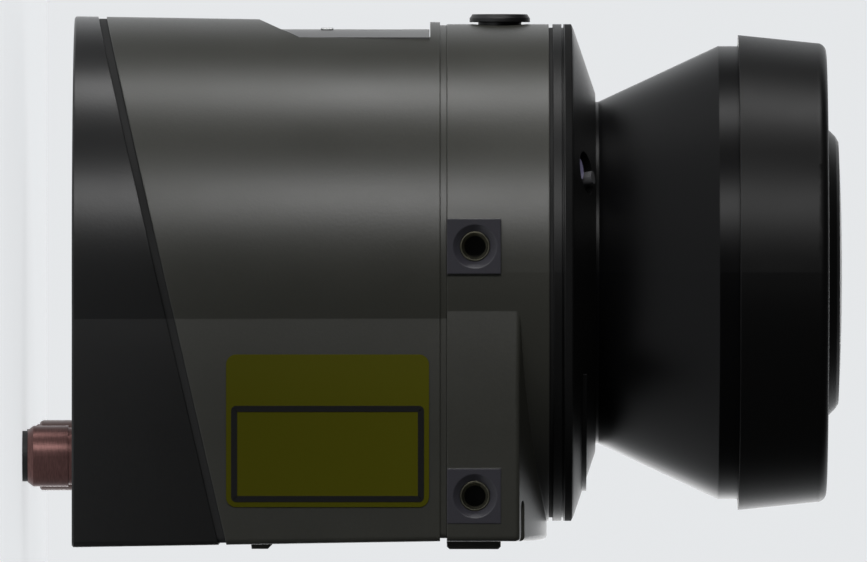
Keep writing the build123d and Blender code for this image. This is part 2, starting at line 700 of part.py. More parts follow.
def transmitter_tube():
    return tube(TUBE_R, TUBE_R - 0.8, PLATE_Z - 6, LENS_FOOT_Z + 3.4)


def collimator_lens():
    return disc(TUBE_R - 0.8 - THREAD_GAP, LENS_FOOT_Z + 1.6, LENS_FOOT_Z + 3.2)


def laser_diode():
    foot = PLATE_Z - 6
    can = disc(2.8, foot - 1.2, foot) + disc(2.2, foot, foot + 2.5)
    return can + [spot * disc(0.25, foot - 7, foot - 1.2) for spot in PolarLocations(1.3, 3)]


def receiver_board():
    board = disc(22.0, RECEIVER_Z, RECEIVER_Z + BOARD_THICK)
    shield = slab((-8, 8), (-7, 7), (RECEIVER_Z - 3, RECEIVER_Z))
    return board + shield


def photodiode():
    foot = RECEIVER_Z + BOARD_THICK
    return disc(4.6, foot, foot + 1.0) + disc(4.0, foot + 1.0, foot + 2.8)


def floor_board(bottom):
    """A board that fills the lower housing, with holes over the posts."""
    outline = drafted(WALL + BOARD_GAP) & slab((-60, 60), (BOARD_FRONT_Y, 60), (bottom, bottom + BOARD_THICK))
    for x, y in POSTS:
        outline -= disc(BOARD_SCREW_R + PASS_GAP, bottom, bottom + BOARD_THICK, x, y)
    return outline


def power_board():
    top = POWER_Z + BOARD_THICK
    coil = tube(8.0, 3.5, top, top + 7, -18, 18)
    cans = [disc(4.0, top, top + 9, 16 + 9 * step, 20) for step in range(3)]
    converter = slab((-22, -2), (-22, -6), (top, top + 6))
    return floor_board(POWER_Z) + coil + cans + converter


def processor_board():
    top = PROCESSOR_Z + BOARD_THICK
    chip = slab((-9, 9), (-24, -6), (top, top + 1.5))
    memory = [slab((14, 24), (-22 + 14 * step, -12 + 14 * step), (top, top + 1.2)) for step in range(2)]
    header = slab((-6.5, 6.5), (PILLAR_R - PILLAR_THICK - 3.5, PILLAR_R - PILLAR_THICK - 0.2), (top, top + 4))
    return floor_board(PROCESSOR_Z) + chip + memory + header


def board_standoffs():
    pieces = []
    for x, y in POSTS:
        spot = Pos(x, y, POWER_Z + BOARD_THICK)
        hexagon = spot * extrude(RegularPolygon(2.9, 6), amount=PROCESSOR_Z - POWER_Z - BOARD_THICK)
        stud = disc(BOARD_SCREW_R, POWER_Z - 4, POWER_Z + BOARD_THICK, x, y)
        pieces.append(hexagon + stud - disc(BOARD_SCREW_R + THREAD_GAP, PROCESSOR_Z - 6, PROCESSOR_Z, x, y))
    return group(pieces)


def board_screws():
    tops = [(x, y, PROCESSOR_Z + BOARD_THICK) for x, y in POSTS]
    tops += [(x, CONNECTOR_Y - 8.7, INTERFACE_Z + BOARD_THICK) for x in (-CONNECTOR_PITCH, CONNECTOR_PITCH)]
    return group(
        disc(2.7, z, z + 1.8, x, y) + disc(BOARD_SCREW_R, z - 5.5, z, x, y) - slab((x - 3, x + 3), (y - 0.4, y + 0.4), (z + 0.9, z + 2))
        for x, y, z in tops
    )


def interface_board():
    top = INTERFACE_Z + BOARD_THICK
    board = slab((-36, 36), (CONNECTOR_Y - 12.5, CONNECTOR_Y + 11.8), (INTERFACE_Z, top))
    for x in (-CONNECTOR_PITCH, CONNECTOR_PITCH):
        board -= disc(BOARD_SCREW_R + PASS_GAP, INTERFACE_Z, top, x, CONNECTOR_Y - 8.7)
    return board + slab((-13, 13), (CONNECTOR_Y - 11.5, CONNECTOR_Y - 6), (top, top + 4))


def ribbon_cable():
    middle = CONNECTOR_Y - 8.75
    return slab((-11, 11), (middle - 0.5, middle + 0.5), (INTERFACE_Z + BOARD_THICK + 4, POWER_Z))


def contact_spots():
    return PolarLocations(PIN_CIRCLE, 4, start_angle=45)


def plug_shell(x):
    body = turned(
        (4.75, -PLUG_DROP), (5.15, -PLUG_DROP), (PLUG_R, -PLUG_DROP + 1.1), (PLUG_R, -0.9), (PLUG_R - 0.4, -0.9),
        (PLUG_R - 0.4, BASE_FLOOR), (NUT_R, BASE_FLOOR), (NUT_R, BASE_FLOOR + NUT_H), (5.4, BASE_FLOOR + NUT_H),
        (5.4, SHELL_TOP), (4.75, SHELL_TOP))
    return Pos(x, CONNECTOR_Y, 0) * body


def plug_insert(x):
    body = disc(4.75 - THREAD_GAP, -PLUG_DROP, SHELL_TOP + 0.5) + disc(TIP_R, -TIP_DROP, -PLUG_DROP)
    body -= disc(4.1, -TIP_DROP, -1.5)
    body -= [spot * disc(PIN_R + THREAD_GAP, -2, SHELL_TOP + 1) for spot in contact_spots()]
    return Pos(x, CONNECTOR_Y, 0) * body


def socket_shell(x):
    body = turned(
        (SOCKET_BORE, -SOCKET_DROP), (SOCKET_R - 0.4, -SOCKET_DROP), (SOCKET_R, -SOCKET_DROP + 0.4),
        (SOCKET_R, BASE_FLOOR), (NUT_R + 0.6, BASE_FLOOR), (NUT_R + 0.6, BASE_FLOOR + NUT_H),
        (SOCKET_BORE, BASE_FLOOR + NUT_H))
    return Pos(x, CONNECTOR_Y, 0) * body


def socket_insert(x):
    body = disc(4.2, -SOCKET_DROP + 1, 0) + disc(SOCKET_BORE - THREAD_GAP, 0, SHELL_TOP + 0.5)
    body -= [spot * disc(PIN_R + THREAD_GAP, -SOCKET_DROP + 1, SHELL_TOP + 1) for spot in contact_spots()]
    return Pos(x, CONNECTOR_Y, 0) * body


def contact_pins():
    pieces = []
    for x, low in zip(CONNECTORS_X, (-PLUG_DROP + 0.9, 0, 0, -PLUG_DROP + 0.9)):
        pieces += [Pos(x, CONNECTOR_Y, 0) * spot * disc(PIN_R, low, INTERFACE_Z) for spot in contact_spots()]
    return group(pieces)


def base_screws():
    return group(
        Pos(x, y, 0) * cap_screw(BASE_SCREW_R, slope_height(y) - SEAT_THICK, SEAT_THICK + SEAL_H + 6) for x, y in POSTS
    )


def collar_screws():
    length = COLLAR_Z + 3.3 - (PLATE_Z - WALL)
    return group(
        spot * cap_screw(BOARD_SCREW_R, PLATE_Z - WALL, length) for spot in collar_spots()
    )


def frame_screws():
    return group(
        spot * (disc(2.6, PLATE_Z + 1.6, UPPER_TOP - 0.1) + disc(BOARD_SCREW_R, PLATE_Z - 2.8, PLATE_Z + 1.6))
        for spot in frame_spots()
    )


def cap_screws():
    return group(spot * cap_screw(BOARD_SCREW_R, BRACKET_Z, BRACKET_H + 5.5) for spot in cap_spots())


PIECES = {
    "base_housing": base_housing,
    "base_seal": base_seal,
    "lower_housing": lower_housing,
    "upper_housing": upper_housing,
    "indicator_panel": indicator_panel,
    "display_window": display_window,
    "status_lenses": status_lenses,
    "indicator_board": indicator_board,
    "side_thread_inserts": side_thread_inserts,
    "rear_thread_inserts": rear_thread_inserts,
    "service_port_socket": service_port_socket,
    "service_port_cap": service_port_cap,
    "label_plate": label_plate,
    "collar_seal": collar_seal,
    "optics_collar": optics_collar,
    "monitor_lenses": monitor_lenses,
    "monitor_receivers": monitor_receivers,
    "optics_window": optics_window,
    "window_seal": window_seal,
    "window_clamp_ring": window_clamp_ring,
    "cap_seal": cap_seal,
    "top_cap": top_cap,
    "optics_frame": optics_frame,
    "motor_flex": motor_flex,
    "motor_bracket": motor_bracket,
    "motor_bearings": motor_bearings,
    "motor_stator": motor_stator,
    "motor_rotor": motor_rotor,
    "motor_shaft": motor_shaft,
    "encoder_disc": encoder_disc,
    "encoder_head": encoder_head,
    "mirror_carrier": mirror_carrier,
    "scan_mirror": scan_mirror,
    "lens_barrel": lens_barrel,
    "receiver_lens": receiver_lens,
    "transmitter_tube": transmitter_tube,
    "collimator_lens": collimator_lens,
    "laser_diode": laser_diode,
    "receiver_board": receiver_board,
    "photodiode": photodiode,
    "power_board": power_board,
    "processor_board": processor_board,
    "board_standoffs": board_standoffs,
    "board_screws": board_screws,
    "interface_board": interface_board,
    "ribbon_cable": ribbon_cable,
    "contact_pins": contact_pins,
    "base_screws": base_screws,
    "collar_screws": collar_screws,
    "frame_screws": frame_screws,
    "cap_screws": cap_screws,
}
CONNECTOR_PIECES = {
    "power_plug": (plug_shell, plug_insert),
    "io_socket": (socket_shell, socket_insert),
    "network_socket": (socket_shell, socket_insert),
    "data_plug": (plug_shell, plug_insert),
}

os.makedirs("parts", exist_ok=True)
for name, build in PIECES.items():
    export_step(build(), f"parts/{name}.step")
for x, (name, (shell, insert)) in zip(CONNECTORS_X, CONNECTOR_PIECES.items()):
    export_step(shell(x), f"parts/{name}_shell.step")
    export_step(insert(x), f"parts/{name}_insert.step")
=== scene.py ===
# %% [markdown]
# # A compact laser scanner
# The real object is a small safety sensor: a cast housing painted grey, a black cast foot and collar,
# and a dark hood of infrared plastic with a spinning mirror inside. Its solids come from a CAD model.
# This lesson gives every surface its finish, and adds the fine pieces that a CAD model leaves out.

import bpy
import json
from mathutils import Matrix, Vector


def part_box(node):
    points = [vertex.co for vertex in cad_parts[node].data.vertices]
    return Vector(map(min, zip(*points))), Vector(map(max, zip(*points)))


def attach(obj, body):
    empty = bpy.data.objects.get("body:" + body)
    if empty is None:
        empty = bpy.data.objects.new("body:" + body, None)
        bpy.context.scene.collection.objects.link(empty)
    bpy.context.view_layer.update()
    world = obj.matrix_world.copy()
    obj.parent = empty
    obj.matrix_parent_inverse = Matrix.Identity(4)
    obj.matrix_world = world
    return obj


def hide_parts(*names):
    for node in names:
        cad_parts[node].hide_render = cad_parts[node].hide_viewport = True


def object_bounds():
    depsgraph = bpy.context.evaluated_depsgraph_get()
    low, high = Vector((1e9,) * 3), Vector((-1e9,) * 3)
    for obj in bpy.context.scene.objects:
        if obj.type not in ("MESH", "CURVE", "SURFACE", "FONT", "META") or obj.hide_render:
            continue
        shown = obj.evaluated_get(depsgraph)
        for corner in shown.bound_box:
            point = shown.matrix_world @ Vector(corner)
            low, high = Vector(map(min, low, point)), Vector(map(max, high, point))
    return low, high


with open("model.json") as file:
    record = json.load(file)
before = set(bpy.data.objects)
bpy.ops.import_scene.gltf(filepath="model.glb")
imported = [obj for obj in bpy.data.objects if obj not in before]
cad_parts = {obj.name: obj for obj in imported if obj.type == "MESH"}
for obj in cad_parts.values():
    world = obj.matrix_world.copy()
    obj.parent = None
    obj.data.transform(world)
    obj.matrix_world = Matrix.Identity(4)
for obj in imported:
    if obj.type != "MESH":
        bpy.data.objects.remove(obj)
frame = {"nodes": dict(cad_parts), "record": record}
solids_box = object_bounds()

# %% Tools and units
import json
import math

import bmesh
import bpy
from mathutils import Color, Matrix, Vector

MM = 0.001
low_corner, high_corner = solids_box
print("size in mm:", [round(side / MM, 1) for side in high_corner - low_corner])

# %% [markdown]
# ## Camera
# The picture shows the +X side from far away, with the scan axis pointing right. A long lens far off
# gives that flat, nearly parallel look. The camera is rolled a quarter turn, so the foot is on the left.

# %% Camera at the angle of the picture
LENS = 1100
SENSOR = 36
FAR_CLIP = 20
VIEW_WIDTH = 171.1 * MM
VIEW_CENTRE = Vector((25, 1.68, 71.06)) * MM

camera = bpy.data.objects.new("camera", bpy.data.cameras.new("camera"))
bpy.context.scene.collection.objects.link(camera)
camera.data.lens = LENS
camera.data.sensor_width = SENSOR
camera.data.clip_end = FAR_CLIP
right, up, back = Vector((0, 0, 1)), Vector((0, -1, 0)), Vector((1, 0, 0))
camera.matrix_world = Matrix((right, up, back)).transposed().to_4x4()
camera.location = VIEW_CENTRE + back * VIEW_WIDTH * LENS / SENSOR
bpy.context.scene.camera = camera
bpy.context.scene.view_settings.view_transform = "Standard"
print("camera distance in m:", round(camera.location.x, 2))

# %% [markdown]
# ## Shader arithmetic
# A pattern in a finish is a sum of small steps. Nodes can be wired by hand, or written as arithmetic.
# Here one class stands for a node's result, and each operator adds the Math node that it needs.

# %% A node's result that can be used in arithmetic
class Result:
    """What one node gives, with operators that add Math nodes."""

    def __init__(self, finish, socket):
        self.finish = finish
        self.socket = socket

    def math(self, operation, *others):
        values = dict(enumerate((self, *others)))
        return self.finish.node("Math", {"operation": operation}, values)

    def __add__(self, other):
        return self.math("ADD", other)

    def __mul__(self, other):
        return self.math("MULTIPLY", other)

    def __sub__(self, other):
        return self.math("SUBTRACT", other)

    def __rsub__(self, other):
        return self.finish.node("Math", {"operation": "SUBTRACT"}, {0: other, 1: self})

    __radd__ = __add__
    __rmul__ = __mul__


# %% A finish, and the one method that adds any node to it
class Finish:
    """A material or a world under way, with its shader and the place that its patterns read."""

    def __init__(self, owner, shader="Principled BSDF", place="Object"):
        owner.use_nodes = True
        self.owner = owner
        self.tree = owner.node_tree
        self.shader = self.tree.nodes[shader]
        self.place = self.node("TexCoord", result=place)

    def join(self, value, socket):
        if isinstance(value, Result):
            self.tree.links.new(value.socket, socket)
        else:
            socket.default_value = value

    def node(self, kind, settings=None, values=None, result=0):
        made = self.tree.nodes.new("ShaderNode" + kind)
        for key, setting in (settings or {}).items():
            setattr(made, key, setting)
        for key, value in (values or {}).items():
            self.join(value, made.inputs[key])
        return Result(self, made.outputs[result])

    def set(self, **sockets):
        """Gives the shader values or links, and Base_Color stands for its Base Color."""
        for key, value in sockets.items():
            self.join(value, self.shader.inputs[key.replace("_", " ")])

    def now(self, socket):
        """What is linked to one of the shader's sockets at this moment."""
        return Result(self, self.shader.inputs[socket].links[0].from_socket)


# %% [markdown]
# ## Shared patterns
# Paint, moulded plastic and rubber all have a fine grain, a slow unevenness, and soft edges. The grain
# is noise in the object's own metres, so its size is real. A Bevel node rounds the look of each edge
# without touching the mesh, which suits CAD triangles that can't be bevelled.

# %% Colours and patterns that many finishes use
BRIGHTEST = 255


def screen(red, green, blue):
    """A colour read from a screen, from 0 to 255, as the linear light that a shader works with."""
    on_screen = Color((red / BRIGHTEST, green / BRIGHTEST, blue / BRIGHTEST))
    return (*on_screen.from_srgb_to_scene_linear(), 1)


def shaded(colour, share):
    """The same colour, darker."""
    return tuple(channel * share for channel in colour[:3]) + (1,)


def noise(finish, size, detail, place=None):
    """Noise whose lumps are about that many metres across, from 0 to 1."""
    values = {"Vector": place or finish.place, "Scale": 1 / size, "Detail": detail}
    return finish.node("TexNoise", {}, values)


def blend(finish, share, first, second):
    """The first colour where share is 0, and the second where it is 1."""
    return finish.node("Mix", {"data_type": "RGBA"}, {0: share, 6: first, 7: second}, result=2)


def stretch(finish, value, low, high, to_low=0.0, to_high=1.0):
    """A value between two limits spread over two others, and held at them outside."""
    values = {"Value": value, "From Min": low, "From Max": high, "To Min": to_low, "To Max": to_high}
    return finish.node("MapRange", {"clamp": True}, values)


def relief(finish, height, depth, edge=0.0):
    """A bump of that depth in metres, over edges rounded by that radius."""
    values = {"Height": height, "Distance": depth, "Strength": 1.0}
    if edge:
        values["Normal"] = finish.node("Bevel", {"samples": 4}, {"Radius": edge})
    return finish.node("Bump", {}, values)


print("mid grey on a screen is", round(screen(128, 128, 128)[0], 3), "of full light")

# %% [markdown]
# ## Painted castings and mouldings
# The housing is die-cast aluminium with a satin powder coat, which shows as a fine orange peel. The foot
# and collar have the same coat in black. The hood and cap are moulded, so they're smoother. One function
# makes them all from a colour, a gloss and a grain.

# %% Coated and moulded surfaces
DRIFT_SIZE = 40 * MM
DRIFT_DETAIL = 3
SLOW_SHARE = 0.6
FINE_SHARE = 0.4
COLOUR_DRIFT = (0.35, 0.65)
GLOSS_DRIFT = (0.3, 0.7)


def coated(name, colour, roughness, grain, depth, edge, even=0.85, shine=0.5):
    """A coat whose colour and gloss drift slowly. Its grain's size and depth and its edges are in mm."""
    finish = Finish(bpy.data.materials.new(name))
    slow = noise(finish, DRIFT_SIZE, DRIFT_DETAIL)
    fine = noise(finish, grain * MM, DRIFT_DETAIL)
    drift = slow * SLOW_SHARE + fine * FINE_SHARE
    finish.set(
        Base_Color=blend(finish, stretch(finish, drift, *COLOUR_DRIFT), shaded(colour, even), colour),
        Roughness=stretch(finish, drift, *GLOSS_DRIFT, *roughness),
        Normal=relief(finish, fine, depth * MM, edge * MM),
    )
    finish.set(Specular_IOR_Level=shine)
    return finish


grey_coat = coated("grey_coat", screen(60, 60, 54), (0.33, 0.41), grain=0.55, depth=0.012, edge=0.35)
black_coat = coated("black_coat", screen(21, 21, 21), (0.28, 0.34), 0.55, 0.012, 0.3, shine=0.4)
panel_coat = coated("panel_coat", screen(92, 92, 92), (0.32, 0.42), 0.4, 0.008, 0.15)
collar_black = coated("collar_black", screen(12, 12, 12), (0.38, 0.48), 0.5, 0.01, 0.3, shine=0.3)
hood_black = coated("hood_black", screen(16, 16, 17), (0.36, 0.44), 0.3, 0.005, 0.3)
cap_black = coated("cap_black", screen(10, 10, 10), (0.36, 0.44), 0.4, 0.008, 0.4, shine=0.26)
socket_black = coated("socket_black", screen(16, 16, 17), (0.5, 0.6), 0.3, 0.01, 0.1)
seal_black = coated("seal_black", screen(8, 8, 8), (0.66, 0.78), 0.25, 0.012, 0.15)
print("coats:", [m.name for m in bpy.data.materials if m.name.endswith(("coat", "black"))])

# %% [markdown]
# ## Milled pads
# The side pads are milled flat after painting, and so is the sink round each thread. Bare metal there is
# darker and bluer than the paint. A mask in the object's own metres picks those faces out: one part of it
# takes what lies on the pad's plane, and the other a circle round each thread.

# %% Where the threads are, in mm
mounts = {mount["name"]: mount for mount in frame["record"]["mounts"]}
side_middle_y, thread_z = (value / MM for value in mounts["right_threads"]["pos_m"][1:])
side_half = mounts["right_threads"]["dims"]["spacing_x_mm"] / 2
rear_half = mounts["rear_threads"]["dims"]["spacing_x_mm"] / 2
side_mouth_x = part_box("side_thread_inserts")[1].x / MM
rear_mouth_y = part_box("rear_thread_inserts")[1].y / MM
print("side threads:", round(2 * side_half, 2), "mm apart at z =", round(thread_z, 2), "mm")

# %% Milled faces on the side pads
SINK_R = 4.4
UNDER = 0.05
BLUR = 0.02 * MM
pads_foot, pads_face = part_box("upper_housing")


def coordinate(finish, axis):
    """One coordinate of the place that the finish reads."""
    return finish.node("SeparateXYZ", {}, {"Vector": finish.place}, result=axis)


def past(finish, value, limit):
    """0 below a limit in metres, and 1 past it and a thin blur."""
    return stretch(finish, value, limit, limit + BLUR)


out, along, high = (coordinate(grey_coat, axis) for axis in "XYZ")
out = out.math("ABSOLUTE")
beside = (along - side_middle_y * MM).math("ABSOLUTE") - side_half * MM
above = high - thread_z * MM
from_thread = (beside * beside + above * above).math("SQRT")
on_pad = past(grey_coat, out, pads_face.x - UNDER * MM - BLUR)
in_sink = past(grey_coat, out, (side_mouth_x - UNDER) * MM - BLUR)
in_sink = in_sink * (1 - past(grey_coat, from_thread, SINK_R * MM))
milled = on_pad.math("MAXIMUM", in_sink) * past(grey_coat, high, pads_foot.z - UNDER * MM - BLUR)
painted = grey_coat.now("Base Color")
grey_coat.set(Base_Color=blend(grey_coat, milled, painted, screen(60, 59, 66)))
print("milled pads at x =", round(pads_face.x / MM, 2), "mm, with sinks to", round(side_mouth_x, 2), "mm")

# %% [markdown]
# ## Collar
# The collar has a band round its rim that shines less than the rest. Its colour is the same, so only
# the roughness changes, between two heights over the collar's foot.

# %% A dull band round the collar
BAND_LIFT = 2.4 * MM
BAND_WIDTH = 1.45 * MM
DULLER = 0.45
over_foot = coordinate(collar_black, "Z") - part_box("optics_collar")[0].z
in_band = past(collar_black, over_foot, BAND_LIFT - BLUR)
in_band = in_band * (1 - past(collar_black, over_foot, BAND_LIFT + BAND_WIDTH))
collar_black.set(Roughness=collar_black.now("Roughness") + in_band * DULLER)
print("dull band from", round(BAND_LIFT / MM, 2), "mm over the collar's foot")

# %% [markdown]
# ## Window
# The hood lets infrared light through and looks black to the eye. It is a polished moulding, so it has
# a clean gloss, faint flow marks and nothing of the paint's grain. Real glass nodes would show nothing
# through it, so a dark glossy surface is the better way.

# %% Smoked window
FLOW_SIZE = 25 * MM
FLOW_DEPTH = 0.02 * MM
WINDOW_EDGE = 0.3 * MM
smoked = Finish(bpy.data.materials.new("smoked_window"))
flow = noise(smoked, FLOW_SIZE, 1)
smoked.set(
    Base_Color=blend(smoked, flow, screen(5, 5, 6), screen(8, 8, 9)),
    Roughness=stretch(smoked, flow, *GLOSS_DRIFT, 0.3, 0.36),
    Normal=relief(smoked, flow, FLOW_DEPTH, WINDOW_EDGE),
)
smoked.set(Specular_IOR_Level=0.16)
print("window finish:", smoked.owner.name)

# %% [markdown]
# ## Metals
# The plugs are plated brass that looks brown here, the inserts are turned steel, and the inner castings
# are bare aluminium. Turned metal has fine rings round its axis, which a stretched noise gives.

# %% Bare and plated metal
STREAK = (1, 1, 8)
STREAK_SIZE = 1.5 * MM
STREAK_DEPTH = 0.006 * MM
METAL_EDGE = 0.08 * MM
WORN = 0.72
ROUGH_SPREAD = 0.15


def metal(name, colour, rough):
    """Metal with fine tool marks, which are short along Z and long across it."""
    finish = Finish(bpy.data.materials.new(name))
    turned = finish.node("Mapping", {}, {"Vector": finish.place, "Scale": STREAK})
    marks = noise(finish, STREAK_SIZE, 3, turned)
    smooth, dull = rough * (1 - ROUGH_SPREAD), rough * (1 + ROUGH_SPREAD)
    finish.set(
        Base_Color=blend(finish, stretch(finish, marks, *COLOUR_DRIFT), shaded(colour, WORN), colour),
        Roughness=stretch(finish, marks, *GLOSS_DRIFT, smooth, dull),
        Normal=relief(finish, marks, STREAK_DEPTH, METAL_EDGE),
    )
    finish.set(Metallic=1.0)
    return finish


plug_metal = metal("plug_metal", screen(112, 82, 79), 0.34)
socket_metal = metal("socket_metal", screen(120, 96, 92), 0.36)
insert_steel = metal("insert_steel", screen(120, 118, 104), 0.36)
screw_steel = metal("screw_steel", screen(150, 150, 150), 0.35)
bare_aluminium = metal("bare_aluminium", screen(190, 192, 195), 0.4)
gold_plate = metal("gold_plate", screen(214, 175, 96), 0.25)
wound_copper = metal("wound_copper", screen(184, 110, 72), 0.35)
mirror_coat = metal("mirror_coat", screen(225, 226, 228), 0.06)
diode_can = metal("diode_can", screen(196, 186, 160), 0.3)
print("metals:", [m.name for m in bpy.data.materials if "metal" in m.name or "steel" in m.name])

# %% [markdown]
# ## Label
# The yellow plate is a printed film: a flat satin yellow with hardly any shine. The dark frame on it is
# a second layer of ink, which is modelled further down as its own thin piece.

# %% Printed films
FILM_GLOSS = (0.42, 0.5)
label_yellow = coated("label_yellow", screen(86, 85, 3), FILM_GLOSS, 0.35, 0.004, 0.1, 0.94, 0.1)
label_ink = coated("label_ink", screen(20, 20, 20), FILM_GLOSS, 0.3, 0.004, 0.05, 0.94, 0.2)
print("printed films:", label_yellow.owner.name, label_ink.owner.name)

# %% [markdown]
# ## Electronics and optics
# These sit inside, and show only through the openings or when the solids are taken apart. Each still
# has its own finish: green boards with a fine grain, amber film, coated lenses and lamps.

# %% Boards, film, glass and lamps
board_green = coated("board_green", screen(28, 82, 46), (0.3, 0.4), 0.5, 0.01, 0.05)
flex_amber = coated("flex_amber", screen(176, 104, 30), (0.3, 0.4), 0.8, 0.004, 0.03)
coated_lens = coated("coated_lens", screen(58, 44, 74), (0.08, 0.12), 3, 0.002, 0.1)
violet_lens = coated("violet_lens", screen(165, 160, 200), (0.12, 0.18), 2, 0.002, 0.15)
grey_receiver = coated("grey_receiver", screen(92, 92, 94), (0.3, 0.4), 0.5, 0.004, 0.1)
lamp_lens = coated("lamp_lens", screen(150, 152, 150), (0.12, 0.2), 1, 0.003, 0.1)
print("lenses:", [m.name for m in bpy.data.materials if "lens" in m.name])

# %% [markdown]
# ## Finishes on the solids
# A CAD node keeps its shape and gets its finish in its first material slot. The list below says which
# finish each node has.

# %% Give each node its finish
FINISH_OF = {
    grey_coat: ["lower_housing", "upper_housing"],
    black_coat: ["base_housing"],
    collar_black: ["optics_collar"],
    panel_coat: ["indicator_panel"],
    hood_black: ["service_port_cap", "service_port_socket"],
    cap_black: ["top_cap"],
    smoked: ["optics_window", "display_window"],
    seal_black: ["base_seal", "collar_seal", "window_seal", "cap_seal"],
    socket_black: ["power_plug_insert", "io_socket_insert", "network_socket_insert", "data_plug_insert",
                   "receiver_board", "lens_barrel", "encoder_head"],
    label_yellow: ["label_plate"],
    lamp_lens: ["status_lenses"],
    violet_lens: ["monitor_lenses"],
    grey_receiver: ["monitor_receivers"],
    plug_metal: ["power_plug_shell", "data_plug_shell"],
    socket_metal: ["io_socket_shell", "network_socket_shell"],
    insert_steel: ["side_thread_inserts", "rear_thread_inserts"],
    screw_steel: ["board_standoffs", "board_screws", "base_screws", "collar_screws", "frame_screws",
                  "cap_screws", "motor_shaft", "motor_bearings", "encoder_disc", "transmitter_tube"],
    bare_aluminium: ["optics_frame", "motor_bracket", "motor_rotor", "mirror_carrier", "window_clamp_ring"],
    gold_plate: ["contact_pins"],
    wound_copper: ["motor_stator"],
    mirror_coat: ["scan_mirror"],
    board_green: ["indicator_board", "power_board", "processor_board", "interface_board"],
    flex_amber: ["motor_flex", "ribbon_cable"],
    diode_can: ["laser_diode", "photodiode"],
    coated_lens: ["receiver_lens", "collimator_lens"],
}
for finish, names in FINISH_OF.items():
    for name in names:
        frame["nodes"][name].data.materials.clear()
        frame["nodes"][name].data.materials.append(finish.owner)
finished = sum(len(names) for names in FINISH_OF.values())
print("nodes with a finish:", finished, "of", len(frame["nodes"]))
assert finished == len(frame["nodes"])

# %% [markdown]
# ## Making a piece
# New pieces are drawn in millimetres where they sit, scaled to metres, and given to a body of the frame.
# An object stays at the origin, and its place is in its mesh, as with the CAD solids.

# %% Turn a bmesh into a finished piece
def linked(name, shape):
    """Puts a bmesh into the scene as an object."""
    mesh = bpy.data.meshes.new(name)
    shape.to_mesh(mesh)
    shape.free()
    made = bpy.data.objects.new(name, mesh)
    bpy.context.scene.collection.objects.link(made)
    return made


def add_piece(name, shape, finish, body):
    """Makes an object from a bmesh drawn in millimetres, and lets it ride on a body."""
    bmesh.ops.recalc_face_normals(shape, faces=shape.faces)
    bmesh.ops.scale(shape, vec=(MM, MM, MM), verts=shape.verts)
    piece = linked(name, shape)
    piece.data.materials.append(finish.owner)
    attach(piece, body)
    print(name, "has", len(piece.data.polygons), "faces")
    return piece


# %% [markdown]
# ## Thread inserts
# Steel inserts with an M5 thread sit in the side pads and the rear bosses. A thread is a helix: a small
# triangle carried round the axis while it climbs. Spin does that with its dvec, which moves each step
# along the axis. A modelled thread catches the light in the hole as the real one does.

# %% One threaded insert, standing on its axis
PITCH = 0.8
INSERT_R = 2.95
MAJOR_R = 2.5
MINOR_R = 2.1
INSERT_LENGTH = 7.5
OUTER_CHAMFER = 0.1
MOUTH_WIDTH = 0.15
MOUTH_DEPTH = 0.2
THREAD_START = 0.15
ROOT_OVERLAP = 0.01
RING_STEPS = 48
STEPS_PER_TURN = 24
FULL_TURN = 2 * math.pi


def spun(shape, outline):
    """Turns an outline of (radius, height) points round the Z axis into a closed ring."""
    corners = [shape.verts.new((radius, 0, height)) for radius, height in outline]
    edges = [shape.edges.new(pair) for pair in zip(corners, corners[1:] + corners[:1])]
    bmesh.ops.spin(shape, geom=corners + edges, cent=(0, 0, 0), axis=(0, 0, 1), angle=FULL_TURN,
                   steps=RING_STEPS, use_merge=True, use_duplicate=False)


def thread_ridge(shape, outer, inner, bottom, top):
    """A helical ridge with a triangular section, from one radius to another."""
    turns = (top - bottom) / PITCH - 1
    section = [(outer, bottom), (inner, bottom + PITCH / 2), (outer, bottom + PITCH)]
    face = shape.faces.new([shape.verts.new((radius, 0, height)) for radius, height in section])
    steps = round(turns * STEPS_PER_TURN)
    rise = (0, 0, turns * PITCH / steps)
    made = bmesh.ops.spin(shape, geom=[face], cent=(0, 0, 0), axis=(0, 0, 1), dvec=rise,
                          angle=turns * FULL_TURN, steps=steps, use_merge=False, use_duplicate=False)
    bmesh.ops.contextual_create(shape, geom=[edge for edge in made["geom_last"] if edge in shape.edges])


def threaded_insert():
    """The sleeve with its mouth at height 0, and the thread inside it."""
    shape = bmesh.new()
    spun(shape, [(INSERT_R, -INSERT_LENGTH), (INSERT_R, -OUTER_CHAMFER), (INSERT_R - OUTER_CHAMFER, 0),
                 (MAJOR_R + MOUTH_WIDTH, 0), (MAJOR_R, -MOUTH_DEPTH), (MAJOR_R, -INSERT_LENGTH)])
    thread_ridge(shape, MAJOR_R + ROOT_OVERLAP, MINOR_R, -INSERT_LENGTH, -THREAD_START)
    return shape


print("turns of thread:", round((INSERT_LENGTH - THREAD_START) / PITCH - 1, 1))

# %% [markdown]
# The same insert is needed six times. It could be six objects, but the CAD model has one node for the
# side pads and one for the rear, so each group is one mesh that stands for its node.

# %% Place the inserts in the side pads and the rear bosses
def gather(places, make):
    """One mesh that holds the same shape at several places."""
    together = bmesh.new()
    for place in places:
        shape = make()
        bmesh.ops.transform(shape, matrix=place, verts=shape.verts)
        mesh = bpy.data.meshes.new("one")
        shape.to_mesh(mesh)
        shape.free()
        together.from_mesh(mesh)
        bpy.data.meshes.remove(mesh)
    return together


def add_inserts(name, places, node):
    """Threaded inserts at several places, which stand for a CAD node."""
    piece = add_piece(name, gather(places, threaded_insert), insert_steel, "housing")
    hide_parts(node)


